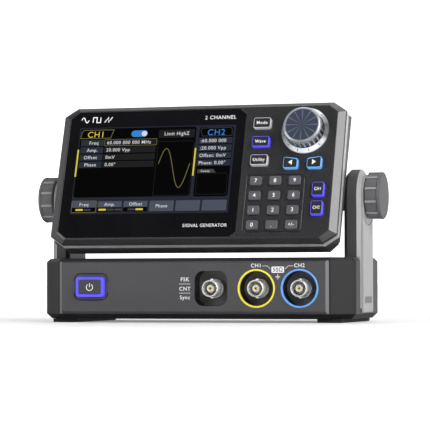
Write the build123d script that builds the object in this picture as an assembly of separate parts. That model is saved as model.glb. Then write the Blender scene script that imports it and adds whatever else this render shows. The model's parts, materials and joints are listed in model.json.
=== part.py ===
from build123d import *
from math import cos, radians, sin
import os

# Bench function generator: a low base unit with three coaxial outputs and a power
# button, two upright arms, and a display head that tilts between the arms and is
# held by a clamp knob on each side. Millimetres, +Z up, front towards -Y, origin
# under the middle of the whole object on the surface that it stands on.

# ---------------------------------------------------------------- driving dimensions
CLEAR = 0.1                   # gap between fitted parts of one assembly
RUNNING = 0.05                # radial gap of a shaft in its hole

# base unit
BASE_HALF_X = 92.6
BASE_DEPTH = 79.5             # from the front panel's face to the back
BASE_CUT_X = 11.6             # plan chamfer at each corner
BASE_CUT_Y = 11.5
BASE_BOTTOM = 2.1
BASE_TOP = 36.8
TOP_CHAMFER = 1.9
BOTTOM_CHAMFER = 2.9
SHELL_WALL = 2.2
PARTING_Z = BASE_BOTTOM + BOTTOM_CHAMFER
REAR_PROUD = 1.2              # the rear panel stands out of the casing
SIDE_SEAM = (0.9, 0.5)        # upright groove behind each front corner: its width and depth
RUNNER_X = (71.9, 86.0)       # rubber runners, one under each side
RUNNER_FRONT = 6.5            # behind the front panel's face
RUNNER_REAR = 4.0             # in front of the casing's back

# front panel
PANEL_PROUD = 1.5
PANEL_HALF_X = 80.0
PANEL_SIDE_BEVEL = (1.7, 1.3) # across the face, and back from it
PANEL_TOP = BASE_TOP - TOP_CHAMFER
OUTLET_Z = 19.4               # height of the three coaxial outlets
CHANNEL_X = (38.3, 63.4)
AUX_X = 11.6
WELL_R = 9.9
WELL_DEPTH = 10.0
RING_R = 10.9
WELL_FLOOR = 1.6
AUX_WELL = (19.4, 19.8, 5.2)  # width, height and corner radius

# coaxial connector
BNC_R = 4.8
BNC_BORE_R = 4.1
BNC_PROUD = 2.4
LUG_R = 5.5

# power button
POWER_X = -60.5
POWER_Z = 20.4
POWER_SIZE = (17.0, 11.6)
POWER_PROUD = 2.2
POWER_TRAVEL = 1.0

# arms and pivot
PIVOT_FROM_FRONT = 39.0       # behind the front panel's face
PIVOT_Z = 72.1
ARM_IN_X = 83.0
ARM_HALF_Y = 15.2
ARM_BEVEL = (3.1, 2.1)        # across the outer face, and in from it
ARM_FOOT_Z = 8.0
COVER_THICK = 1.3
COVER_HALF_Y = 12.0
WASHER_THICK = 0.25           # thrust washer between a cover and its clamp knob
CLAMP_R = 3.0                 # clamp screw shank
CLAMP_KNOB_R = 13.5
CLAMP_KNOB_OUT_X = 103.2
CLAMP_RIM = 2.0               # smooth rim beside the ribs
CLAMP_RIBS = 11
CLAMP_RIB = (1.3, 0.55)       # width and height of a rib

# display head: local x to the right, v up the face, n out of the face
TILT = 19.0                   # lean of the face away from upright
HEAD_HALF_X = 85.25
HEAD_HALF_V = 42.7
HEAD_CUT_X = 7.8
HEAD_CUT_V = 5.4
FACE_HALF_X = 80.8
FACE_HALF_V = 39.95
FACE_CUT_X = 5.5
FACE_CUT_V = 4.4
FACE_N = 2.45                 # the face stands this far in front of the frame's rim
FACE_PLATE = 2.3
FRAME_DEPTH = 5.4
PIVOT_V = -3.2
PIVOT_N = -29.8
SHELL_INSET = 0.25            # the rear shell stands in from the frame's rim
WIDE_DEPTH = 11.0             # full-width part of the rear shell, at mid height
WIDE_SLANT = 3.0              # its back edge leans this much, deeper at the top
WIDE_CUT_V = 3.6
WAIST_DEPTH = 15.0            # from here back it is narrow enough to pass between the arms
WAIST_HALF_X = 82.2
SHOULDER_DEPTH = 22.0
SHOULDER_HALF_X = 81.0
HUMP_DEPTH = 44.0
HUMP_HALF_X = 74.5
BOSS_OUT_X = 81.5             # outer face of the pivot bosses
BOSS_LENGTH = 10.5
BOSS_R = 8.5
INSERT_R = 5.0
HEAD_SCREWS = [(-66.0, 36.4), (-66.0, -36.2), (79.0, 33.0), (79.0, -33.5)]

# display
LENS_RIGHT_X = 26.9
LENS_THICK = 1.5
SCREEN_X = -26.25
SCREEN_V = 2.26
SCREEN_SIZE = (95.04, 53.86)

# keys: name, centre x, centre v, width, height
FUNCTION_KEYS = [
    ("key_mode", 37.35, 29.0, 10.2, 6.4),
    ("key_wave", 37.35, 17.6, 10.2, 6.4),
    ("key_utility", 37.35, 6.3, 10.2, 6.4),
    ("key_ch1", 73.3, -11.9, 6.9, 8.3),
    ("key_ch2", 73.3, -23.1, 6.9, 8.3),
]
ARROW_KEYS = [("key_left", 56.0, 1), ("key_right", 69.8, -1)]
ARROW_V = 4.4
ARROW_SIZE = (8.4, 7.0)
ARROW_SLOPE = 1.1             # the top edge falls this much towards the dial
PAD_COLUMNS = (36.35, 47.75, 59.15)
PAD_ROWS = (-6.05, -14.9, -23.75, -32.6)
PAD_NAMES = [
    ("key_7", "key_8", "key_9"),
    ("key_4", "key_5", "key_6"),
    ("key_1", "key_2", "key_3"),
    ("key_0", "key_point", "key_sign"),
]
PAD_KEY = (7.0, 5.35)
PAD_FIELD = (48.0, -19.5, 34.8, 35.0)   # the groove round the keypad: centre, width, height
PAD_GROOVE = (0.8, 0.7)                 # its width and depth
KEY_PROUD = 2.5
PAD_PROUD = 1.4
KEY_TRAVEL = 0.8
KEY_GAP = 0.15
FLANGE = 0.8
BOARD_N = -4.0                # front of the keypad board

# rotary encoder
DIAL_X = 62.7
DIAL_V = 24.3
DIAL_R = 13.8
DIAL_KNOB_R = 11.1
DIAL_KNOB_TOP = 12.0
DIAL_INSET_R = 9.5            # the sunk disc in the knob's end
DIAL_FLUTES = 24
DIAL_FLUTE_R = 2.4
DIAL_FLUTE_DEPTH = 0.35
SHAFT_R = 3.0

# ---------------------------------------------------------------- frames
SIN, COS = sin(radians(TILT)), cos(radians(TILT))
HEAD_FROM_FRONT = PIVOT_FROM_FRONT - PIVOT_V * SIN + PIVOT_N * COS
FOREMOST = HEAD_FROM_FRONT - FACE_HALF_V * SIN - FACE_N * COS
FRONT_Y = -(BASE_DEPTH + REAR_PROUD + FOREMOST) / 2
REAR_Y = FRONT_Y + BASE_DEPTH
PIVOT_Y = FRONT_Y + PIVOT_FROM_FRONT
HEAD_Y = FRONT_Y + HEAD_FROM_FRONT
HEAD_Z = PIVOT_Z - PIVOT_V * COS - PIVOT_N * SIN

FRONT = Plane(origin=(0, FRONT_Y, 0), x_dir=(1, 0, 0), z_dir=(0, -1, 0)).location
REAR = Plane(origin=(0, REAR_Y, 0), x_dir=(-1, 0, 0), z_dir=(0, 1, 0)).location
HEAD = Plane(origin=(0, HEAD_Y, HEAD_Z), x_dir=(1, 0, 0), z_dir=(0, -COS, SIN)).location
ALONG_X = Rot(0, 90, 0)
COVER_OUT_X = BASE_HALF_X + COVER_THICK

NODES = {}


def keep(name, *shapes, at=None):
    """Files one node: its solids, moved to their frame."""
    placed = [at * s if at else s for s in shapes]
    NODES[name] = placed[0] if len(placed) == 1 else Compound(children=placed)


def block(x0, x1, y0, y1, z0, z1):
    """A box between two corners."""
    return Pos((x0 + x1) / 2, (y0 + y1) / 2, (z0 + z1) / 2) * Box(x1 - x0, y1 - y0, z1 - z0)


def disc(r, z0, z1, x=0.0, y=0.0):
    """A cylinder along +Z between two heights."""
    return Pos(x, y, (z0 + z1) / 2) * Cylinder(r, z1 - z0)


def tube(r_out, r_in, z0, z1, x=0.0, y=0.0):
    """A ring along +Z between two heights."""
    return disc(r_out, z0, z1, x, y) - disc(r_in, z0 - 1, z1 + 1, x, y)


def pad(w, h, r, z0, z1, x=0.0, y=0.0):
    """A rounded rectangle raised between two heights."""
    return Pos(x, y, z0) * extrude(RectangleRounded(w, h, r), z1 - z0)


def eight(half_x, low, high, cut_x, cut_y):
    """A rectangle with four cut corners, as a flat face."""
    corners = [
        (-half_x + cut_x, low), (half_x - cut_x, low), (half_x, low + cut_y), (half_x, high - cut_y),
        (half_x - cut_x, high), (-half_x + cut_x, high), (-half_x, high - cut_y), (-half_x, low + cut_y),
    ]
    return make_face(Polyline(*corners, close=True))


def prism(face, z0, z1):
    """A flat face raised between two heights."""
    return Pos(0, 0, z0) * extrude(face, z1 - z0)


def taper(face_low, z_low, face_high, z_high):
    """A straight-sided solid between two eight-sided faces."""
    return loft([Pos(0, 0, z_low) * face_low, Pos(0, 0, z_high) * face_high], ruled=True)


def both_sides(shape):
    """The right-hand piece and its mirror image on the left."""
    return [shape, mirror(shape, about=Plane.YZ)]


# ---------------------------------------------------------------- base unit
def base_solid(inset, top, bottom, top_chamfer, bottom_chamfer):
    """The base's outer form, or its cavity when inset."""
    plan = eight(
        BASE_HALF_X - inset, FRONT_Y + PANEL_PROUD + inset, REAR_Y - inset,
        BASE_CUT_X - 0.6 * inset, BASE_CUT_Y - 0.6 * inset,
    )
    solid = prism(plan, bottom, top)
    solid = chamfer(solid.edges().group_by(Axis.Z)[-1], top_chamfer)
    return chamfer(solid.edges().group_by(Axis.Z)[0], bottom_chamfer)


SCREW_SPOTS = [(x, y) for x in (-66.0, 66.0) for y in (PIVOT_Y - 13.0, PIVOT_Y + 20.0)]
BOARD_Z = 9.0
BOARD_THICK = 1.6
BOARD_HALF_X = 76.0
BOARD_FRONT_Y = FRONT_Y + 16.0
BOARD_REAR_Y = REAR_Y - 8.0
SCREW_R = 1.5
SCREW_HEAD_R = 2.8


def base_shells():
    """Upper and lower casing, with bosses, arm slots and panel openings."""
    outer = base_solid(0, BASE_TOP, BASE_BOTTOM, TOP_CHAMFER, BOTTOM_CHAMFER)
    cavity = base_solid(SHELL_WALL, BASE_TOP - SHELL_WALL, BASE_BOTTOM + 2.0, 1.4, 3.0)
    casing = outer - cavity
    above = block(-100, 100, -100, 100, PARTING_Z, 60)
    upper, lower = casing & above, casing - above

    # openings for the front and rear panels, and a slot for each arm's foot
    upper -= block(-76, 76, FRONT_Y, FRONT_Y + 8, 7.4, 32.6)
    upper -= block(-70, 70, REAR_Y - 8, REAR_Y + 1, 8.4, 31.6)
    for side in both_sides(block(
        ARM_IN_X - CLEAR, 100, PIVOT_Y - ARM_HALF_Y - CLEAR, PIVOT_Y + ARM_HALF_Y + CLEAR,
        ARM_FOOT_Z - CLEAR, 50,
    )):
        upper -= side
    seam_y, (seam_wide, seam_deep) = FRONT_Y + PANEL_PROUD + BASE_CUT_Y, SIDE_SEAM
    for side in both_sides(block(
        BASE_HALF_X - seam_deep, 100, seam_y, seam_y + seam_wide, PARTING_Z, BASE_TOP - TOP_CHAMFER,
    )):
        upper -= side
    for x, y in SCREW_SPOTS:
        upper += disc(3.2, BOARD_Z + BOARD_THICK, BASE_TOP - 1, x, y)
        upper -= disc(SCREW_R, BOARD_Z, 22, x, y)
        lower += disc(4.4, BASE_BOTTOM + 1, BOARD_Z, x, y)
        lower -= disc(SCREW_R + CLEAR, BASE_BOTTOM - 1, BOARD_Z + 1, x, y)
        lower -= disc(SCREW_HEAD_R + CLEAR, BASE_BOTTOM - 1, BASE_BOTTOM + 1.9, x, y)
    for x in (-22, 0, 22):   # air intake slots under the board
        lower -= block(x - 7, x + 7, PIVOT_Y - 1.2, PIVOT_Y + 1.2, BASE_BOTTOM - 1, BASE_BOTTOM + 3)
    for x in (-30, -15, 0, 15, 30):
        lower -= block(x - 4, x + 4, PIVOT_Y + 8.8, PIVOT_Y + 11.2, BASE_BOTTOM - 1, BASE_BOTTOM + 3)
    keep("base_top_shell", upper)
    keep("base_bottom_shell", lower)


def base_screws():
    """Casing screws from below, their heads sunk in the lower casing."""
    screws = [
        disc(SCREW_R - RUNNING, BASE_BOTTOM + 0.4, 20, x, y)
        + disc(SCREW_HEAD_R, BASE_BOTTOM + 0.2, BASE_BOTTOM + 1.8, x, y)
        - Pos(x, y, BASE_BOTTOM) * Box(3.2, 0.7, 1.6) - Pos(x, y, BASE_BOTTOM) * Box(0.7, 3.2, 1.6)
        for x, y in SCREW_SPOTS
    ]
    keep("base_screws", *screws)


def rubber_feet():
    """Two long rubber runners stuck under the sides of the base."""
    runner = block(*RUNNER_X, FRONT_Y + RUNNER_FRONT, REAR_Y - RUNNER_REAR, 0, BASE_BOTTOM)
    runner = chamfer(runner.edges().group_by(Axis.Z)[0], 0.4)
    for y in (PIVOT_Y - 12, PIVOT_Y + 12):
        runner -= block(60, 100, y - 0.8, y + 0.8, -1, 0.6)
    keep("rubber_feet", *both_sides(runner))


def front_panel():
    """Front plate with three connector wells and the power button's seat."""
    w = PANEL_HALF_X
    plate = prism(make_face(Polyline(
        (-w, PARTING_Z), (w, PARTING_Z), (w, PANEL_TOP), (-w, PANEL_TOP), close=True)), -PANEL_PROUD, 0)
    face = plate.faces().sort_by(Axis.Z)[-1]
    plate = chamfer(face.edges().filter_by(Axis.Y), *PANEL_SIDE_BEVEL, reference=face)
    low = plate.faces().sort_by(Axis.Z)[-1].edges().filter_by(Axis.X).sort_by(Axis.Y)[0]
    plate = chamfer(low, 1.4)
    plate = chamfer(plate.faces().sort_by(Axis.Z)[-1].edges().filter_by(Axis.X).sort_by(Axis.Y)[-1], 0.9)
    plate += block(-75.9, 75.9, 7.5, 32.5, -PANEL_PROUD - 2.0, -PANEL_PROUD)

    aux_w, aux_h, aux_r = AUX_WELL
    back = -WELL_DEPTH - WELL_FLOOR
    for x in CHANNEL_X:
        plate += disc(WELL_R + 1.4, back, -1, x, OUTLET_Z)
    plate += pad(aux_w + 2.8, aux_h + 2.8, aux_r + 1.4, back, -1, AUX_X, OUTLET_Z)
    for x in CHANNEL_X:
        plate -= disc(WELL_R, -WELL_DEPTH, 1, x, OUTLET_Z)
        plate -= disc(RING_R + CLEAR / 2, -1.2, 1, x, OUTLET_Z)
    plate -= pad(aux_w, aux_h, aux_r, -WELL_DEPTH, 1, AUX_X, OUTLET_Z)
    for x in (AUX_X, *CHANNEL_X):
        plate -= disc(BNC_R + CLEAR / 2, back - 1, 1, x, OUTLET_Z)

    # sunk seat of the power button: a shallow frame broken by a bridge at each side
    bw, bh = POWER_SIZE
    groove = pad(bw + 3.9, bh + 4.0, 4.2, -0.8, 1, POWER_X, POWER_Z)
    groove -= pad(bw + 2.7, bh + 2.8, 3.4, -2, 2, POWER_X, POWER_Z)
    groove -= block(POWER_X - 20, POWER_X + 20, POWER_Z - 3.4, POWER_Z + 3.4, -2, 2)
    plate -= groove
    plate -= pad(bw + 2 * KEY_GAP, bh + 2 * KEY_GAP, 2.2, -8, 2, POWER_X, POWER_Z)
    keep("front_panel", plate, at=FRONT)


def connectors():
    """Three coaxial sockets with bayonet lugs, their insulators, contacts and nuts."""
    shells, insulators, contacts, nuts = [], [], [], []
    back = -WELL_DEPTH - WELL_FLOOR
    for x in (AUX_X, *CHANNEL_X):
        shell = disc(BNC_R, back - 7, BNC_PROUD, x, OUTLET_Z)
        shell = chamfer(shell.edges().group_by(Axis.Z)[-1], 0.35)
        shell += disc(5.4, -WELL_DEPTH, -WELL_DEPTH + 3.4, x, OUTLET_Z)
        for turn in (-1, 1):
            lug = Pos(x, OUTLET_Z + turn * (LUG_R - 1.1), -2.2) * Rot(90, 0, 0) * Cylinder(0.95, 2.2)
            shell += lug
        shell -= disc(BNC_BORE_R, -7.5, BNC_PROUD + 1, x, OUTLET_Z)
        shell -= disc(3.2, back - 8, -7, x, OUTLET_Z)
        shells.append(shell)
        white = disc(2.1, -5.1, BNC_PROUD - 1.2, x, OUTLET_Z)
        white = chamfer(white.edges().group_by(Axis.Z)[-1], 0.3) + disc(3.15, back - 6, -5, x, OUTLET_Z)
        white -= disc(1.12, back - 7, 4, x, OUTLET_Z)
        insulators.append(white)
        contacts.append(tube(1.1, 0.65, -5, BNC_PROUD - 1.3, x, OUTLET_Z) + disc(1.1, back - 9, -5, x, OUTLET_Z))
        nut = Pos(x, OUTLET_Z, back - 2.3) * extrude(RegularPolygon(6.8, 6), 2.2)
        nuts.append(nut - disc(BNC_R + RUNNING, back - 5, back + 1, x, OUTLET_Z))
    keep("bnc_shells", *shells, at=FRONT)
    keep("bnc_insulators", *insulators, at=FRONT)
    keep("bnc_contacts", *contacts, at=FRONT)
    keep("bnc_nuts", *nuts, at=FRONT)
    for i, x in enumerate(CHANNEL_X, start=1):
        ring = tube(RING_R, WELL_R, -1.2, 0.35, x, OUTLET_Z)
        ring = fillet(ring.edges().group_by(Axis.Z)[-1], 0.25)
        keep(f"channel_ring_{i}", ring, at=FRONT)


def power_button():
    """Dark cap inside a translucent light frame, with the switch behind it."""
    bw, bh = POWER_SIZE
    rim_back = -3.4
    rim = pad(bw, bh, 2.05, rim_back, POWER_PROUD, POWER_X, POWER_Z)
    rim = fillet(rim.edges().group_by(Axis.Z)[-1], 0.45)
    rim -= pad(bw - 3.2, bh - 3.2, 0.9, -1.0, 4, POWER_X, POWER_Z)
    keep("power_button_light", rim, at=FRONT)
    cap = pad(bw - 3.3, bh - 3.3, 0.85, -0.98, POWER_PROUD + 0.15, POWER_X, POWER_Z)
    keep("power_button", fillet(cap.edges().group_by(Axis.Z)[-1], 0.3), at=FRONT)
    switch = block(POWER_X - 6, POWER_X + 6, BOARD_Z + BOARD_THICK + 0.05, POWER_Z + 6, -15, -7.6)
    plunger = disc(2.6, -7.7, rim_back - POWER_TRAVEL - 0.2, POWER_X, POWER_Z)
    keep("power_switch", switch + plunger, at=FRONT)


def rear_panel():
    """Rear plate with a power inlet, a data socket and a grille. Local +x is towards -X."""
    plate = block(-74, 74, PARTING_Z + 1.4, PANEL_TOP - 1.2, 0, REAR_PROUD)
    plate = chamfer(plate.edges().group_by(Axis.Z)[-1], 0.8)
    plate += block(-69.9, 69.9, 8.5, 31.5, -2.0, 0)
    for i in range(11):
        x = -6.0 + 5.2 * i
        plate -= pad(2.4, 17.0, 1.19, -3, 2, x, 20.0)
    plate -= disc(4.6, -3, 2, -52, 19)
    plate -= pad(9.6, 3.9, 1.9, -3, 2, -31, 19)
    keep("rear_panel", plate, at=REAR)
    inlet = tube(4.5, 2.75, -9, 0.9, -52, 19) + disc(4.5, -13, -9, -52, 19) + disc(1.0, -9.5, -1, -52, 19)
    inlet += block(-57, -47, BOARD_Z + BOARD_THICK + 0.05, 18.9, -13, -9)
    keep("dc_inlet", inlet, at=REAR)
    usb = pad(9.5, 3.8, 1.85, -9, 0.6, -31, 19) - pad(8.6, 2.9, 1.4, -8, 2, -31, 19)
    usb += pad(6.7, 0.8, 0.3, -8.5, -0.8, -31, 19)
    usb += block(-35, -27, BOARD_Z + BOARD_THICK + 0.05, 17.4, -9, -5)
    keep("usb_port", usb, at=REAR)


def boards():
    """Main board and the finned heat sink on it."""
    board = block(-BOARD_HALF_X, BOARD_HALF_X, BOARD_FRONT_Y, BOARD_REAR_Y, BOARD_Z, BOARD_Z + BOARD_THICK)
    for x, y in SCREW_SPOTS:
        board -= disc(SCREW_R + 0.3, BOARD_Z - 1, BOARD_Z + 3, x, y)
    top = BOARD_Z + BOARD_THICK
    for x, y, w, d, h in (
        (-30, 4, 16, 16, 1.6), (-4, 10, 12, 12, 1.4), (-34, 24, 9, 6, 2.0), (-14, 26, 5, 8, 1.2),
        (-50, 12, 10, 10, 5.0), (4, 24, 8, 5, 1.5), (57, 20, 9, 9, 7.0), (-56, 26, 6, 6, 8.0),
    ):
        board += block(x - w / 2, x + w / 2, PIVOT_Y + y - d / 2 - 8, PIVOT_Y + y + d / 2 - 8, top - 0.2, top + h)
    keep("main_board", board)
    sink = block(20, 52, PIVOT_Y - 14, PIVOT_Y + 14, top + 0.05, top + 3)
    for i in range(9):
        x = 20.8 + 3.8 * i
        sink += block(x - 0.8, x + 0.8, PIVOT_Y - 14, PIVOT_Y + 14, top + 2.9, top + 13)
    keep("heat_sink", sink)


# ---------------------------------------------------------------- arms and clamps
def arm_profile(half, foot):
    """Side outline of an arm: straight sides and a round top about the pivot."""
    outline = make_face(Polyline(
        (-half, foot), (half, foot), (half, PIVOT_Z), (-half, PIVOT_Z), close=True))
    return outline + Pos(0, PIVOT_Z) * Circle(half)


def across(face, x0, x1):
    """A side outline (y, z) given thickness along X."""
    plane = Plane(origin=(x0, PIVOT_Y, 0), x_dir=(0, 1, 0), z_dir=(1, 0, 0)).location
    return plane * extrude(face, x1 - x0)


def arms():
    """Upright arms, slotted into the base, each with a cable channel and a cover plate."""
    arm = across(arm_profile(ARM_HALF_Y, ARM_FOOT_Z), ARM_IN_X, BASE_HALF_X)
    # bevel round the outer edge, above the base only
    bevel_y, bevel_x = ARM_BEVEL
    slope = across(arm_profile(ARM_HALF_Y + 5, BASE_TOP + 0.2), BASE_HALF_X - bevel_x, BASE_HALF_X + 1)
    inner = across(arm_profile(ARM_HALF_Y, BASE_TOP - 5), BASE_HALF_X - bevel_x, BASE_HALF_X)
    outer_face = inner.faces().sort_by(Axis.X)[-1]
    inner = chamfer(outer_face.edges(), bevel_y, bevel_x - 0.05, reference=outer_face)
    arm -= slope - inner
    top_inner = arm.faces().sort_by(Axis.X)[0].edges().sort_by(Axis.Z)[-1]
    arm = chamfer(top_inner, 2.0)
    arm -= across(make_face(Polyline((-3, 12), (3, 12), (3, 60), (-3, 60), close=True)), 87.5, 95)
    pivot = Pos(0, PIVOT_Y, PIVOT_Z) * ALONG_X
    arm -= pivot * disc(CLAMP_R + RUNNING, 80, 100)
    keep("arm_right", arm)
    keep("arm_left", mirror(arm, about=Plane.YZ))

    cover = across(arm_profile(COVER_HALF_Y, PARTING_Z + 0.4), BASE_HALF_X, COVER_OUT_X)
    cover = chamfer(cover.faces().sort_by(Axis.X)[-1].edges(), 0.5)
    cover -= pivot * tube(16.9, 16.2, COVER_OUT_X - 0.4, COVER_OUT_X + 1)
    cover -= pivot * disc(CLAMP_R + RUNNING, 80, 100)
    keep("arm_covers", *both_sides(cover))
    washer = tube(9.5, CLAMP_R + RUNNING, COVER_OUT_X, COVER_OUT_X + WASHER_THICK)
    keep("thrust_washers", *both_sides(pivot * washer))


def clamp_knobs():
    """Ribbed clamp knobs, each on a screw that runs through the arm into the head."""
    start, rim = COVER_OUT_X + WASHER_THICK + CLEAR, CLAMP_KNOB_OUT_X - CLAMP_RIM
    rib_wide, rib_high = CLAMP_RIB
    grip = disc(CLAMP_KNOB_R, rim, CLAMP_KNOB_OUT_X)
    grip = fillet(grip.edges().group_by(Axis.Z)[-1], 0.8)
    grip = chamfer(grip.edges().group_by(Axis.Z)[0], 0.5)
    core = disc(CLAMP_KNOB_R - rib_high, start, rim + 0.1)
    grip += chamfer(core.edges().group_by(Axis.Z)[0], 0.8)
    for i in range(CLAMP_RIBS):
        rib = block(CLAMP_KNOB_R - 2, CLAMP_KNOB_R - 0.05, -rib_wide / 2, rib_wide / 2, start + 0.5, rim + 1)
        grip += Rot(0, 0, 90 + 360 / CLAMP_RIBS * i) * rib
    grip -= disc(CLAMP_R, start - 1, CLAMP_KNOB_OUT_X - 2.0)
    grip -= tube(11.4, 6.0, start - 1, start + 3.0)
    screw = disc(CLAMP_R, BOSS_OUT_X - BOSS_LENGTH + 1, CLAMP_KNOB_OUT_X - 2.1)
    screw = chamfer(screw.edges().group_by(Axis.Z)[0], 0.7)
    pivot = Pos(0, PIVOT_Y, PIVOT_Z) * ALONG_X
    for name, part in (("clamp_knob", grip), ("clamp_screw", screw)):
        right = pivot * part
        keep(f"{name}_right", right)
        keep(f"{name}_left", mirror(right, about=Plane.YZ))


# ---------------------------------------------------------------- display head
def key_outlines():
    """Every key as (name, centre x, centre v, flat outline, flange outline, height above the face)."""
    found = []
    for name, x, v, w, h in FUNCTION_KEYS:
        found.append((name, x, v, RectangleRounded(w, h, 1.2), RectangleRounded(w + 2 * FLANGE, h + 2 * FLANGE, 1.2),
                      KEY_PROUD))
    w, h = ARROW_SIZE
    for name, x, side in ARROW_KEYS:
        corners = [(-w / 2, -h / 2), (w / 2, -h / 2), (w / 2, h / 2), (-w / 2, h / 2)]
        low = 2 if side > 0 else 3
        corners[low] = (corners[low][0], h / 2 - ARROW_SLOPE)
        cap = make_face(Polyline(*corners, close=True))
        cap = fillet(cap.vertices(), 1.2)
        found.append((name, x, ARROW_V, cap, Pos(0, -0.3) * RectangleRounded(w + 1.2, h + 0.4, 1.2), KEY_PROUD))
    for v, names in zip(PAD_ROWS, PAD_NAMES):
        for x, name in zip(PAD_COLUMNS, names):
            w, h = PAD_KEY
            found.append((name, x, v, RectangleRounded(w, h, 1.0),
                          RectangleRounded(w + 2 * FLANGE, h + 2 * FLANGE, 1.0), PAD_PROUD))
    return found


KEYS = key_outlines()
PLATE_BACK = FACE_N - FACE_PLATE
KEY_BACK = PLATE_BACK - 0.05 - 1.0   # the back of a key's flange


def front_frame():
    """Bevelled front frame: screen window, lens pocket, key holes and the dial's hole."""
    rim = eight(HEAD_HALF_X, -HEAD_HALF_V, HEAD_HALF_V, HEAD_CUT_X, HEAD_CUT_V)
    face = eight(FACE_HALF_X, -FACE_HALF_V, FACE_HALF_V, FACE_CUT_X, FACE_CUT_V)
    frame = taper(rim, 0, face, FACE_N) + prism(rim, -FRAME_DEPTH, 0)
    frame = chamfer(frame.edges().filter_by_position(Axis.Z, -0.01, 0.01), 0.3)
    frame = chamfer(frame.edges().group_by(Axis.Z)[-1], 0.2)
    hollow = eight(HEAD_HALF_X - 3, -HEAD_HALF_V + 3, HEAD_HALF_V - 3, HEAD_CUT_X - 1.8, HEAD_CUT_V - 1.4)
    frame -= prism(hollow, -FRAME_DEPTH - 1, PLATE_BACK)
    frame -= prism(lens_outline(CLEAR / 2), FACE_N - LENS_THICK, FACE_N + 1)
    sw, sh = SCREEN_SIZE
    frame -= pad(sw + 2.4, sh + 2.4, 1.0, -3, 3, SCREEN_X, SCREEN_V)
    x, v, w, h = PAD_FIELD
    groove, depth = PAD_GROOVE
    frame -= (pad(w, h, 2.2, FACE_N - depth, FACE_N + 1, x, v)
              - pad(w - 2 * groove, h - 2 * groove, 1.4, FACE_N - depth - 1, FACE_N + 2, x, v))
    for _, x, v, cap, _, _ in KEYS:
        frame -= Pos(x, v, PLATE_BACK - 2) * extrude(offset(cap, KEY_GAP), 8)
    frame -= disc(3.7, -2, 6, DIAL_X, DIAL_V)
    for x, v in HEAD_SCREWS:
        frame += disc(3.4, -FRAME_DEPTH, PLATE_BACK + 0.1, x, v)
        frame -= disc(SCREW_R, -FRAME_DEPTH - 1, PLATE_BACK - 0.6, x, v)
    keep("front_frame", frame, at=HEAD)


def lens_outline(grow):
    """The black lens: cut corners, as wide as the screen side of the face."""
    left, low, high, right = -FACE_HALF_X + 0.7, -FACE_HALF_V + 0.7, FACE_HALF_V - 0.9, LENS_RIGHT_X
    g, cx, cv, rx, rv = grow, FACE_CUT_X - 0.2, FACE_CUT_V - 0.2, 3.8, 3.3
    return make_face(Polyline(
        (left + cx, low - g), (right - rx, low - g), (right + g, low + rv), (right + g, high - rv),
        (right - rx, high + g), (left + cx, high + g), (left - g, high - cv), (left - g, low + cv), close=True))


def display():
    """Cover lens and the panel module behind it."""
    lens = prism(lens_outline(-CLEAR / 2), FACE_N - LENS_THICK, FACE_N)
    keep("display_lens", lens, at=HEAD)
    sw, sh = SCREEN_SIZE
    module = pad(sw + 8.4, sh + 10, 0.8, PLATE_BACK - 3.3, PLATE_BACK - 0.1, SCREEN_X, SCREEN_V - 1.4)
    module += pad(sw + 1.0, sh + 1.0, 0.4, PLATE_BACK - 0.2, FACE_N - LENS_THICK - 0.02, SCREEN_X, SCREEN_V)
    keep("lcd_module", module, at=HEAD)


def keys():
    """Each key cap with its retaining flange and stem, the rubber mat and the board."""
    mat = block(29.3, 78.6, -37.9, 36.8, KEY_BACK - 2.0, KEY_BACK - 1.0)
    mat -= disc(9.2, KEY_BACK - 3, KEY_BACK, DIAL_X, DIAL_V)
    for name, x, v, cap, flange, proud in KEYS:
        body = Pos(x, v, KEY_BACK) * extrude(cap, FACE_N + proud - KEY_BACK)
        body = fillet(body.edges().group_by(Axis.Z)[-1], 0.45)
        body += Pos(x, v, KEY_BACK) * extrude(flange, 1.0)
        body += disc(1.3, BOARD_N + KEY_TRAVEL + 0.1, KEY_BACK + 0.1, x, v)
        keep(name, body, at=HEAD)
        mat -= disc(1.7, KEY_BACK - 3, KEY_BACK, x, v)
    board = block(28.8, 78.6, -37.9, 37.0, BOARD_N - 1.6, BOARD_N)
    for x, v in HEAD_SCREWS:
        mat -= disc(4.3, -6, 3, x, v)
        board -= disc(4.3, -8, 3, x, v)
    keep("key_mat", mat, at=HEAD)
    keep("keypad_board", board, at=HEAD)


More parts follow.
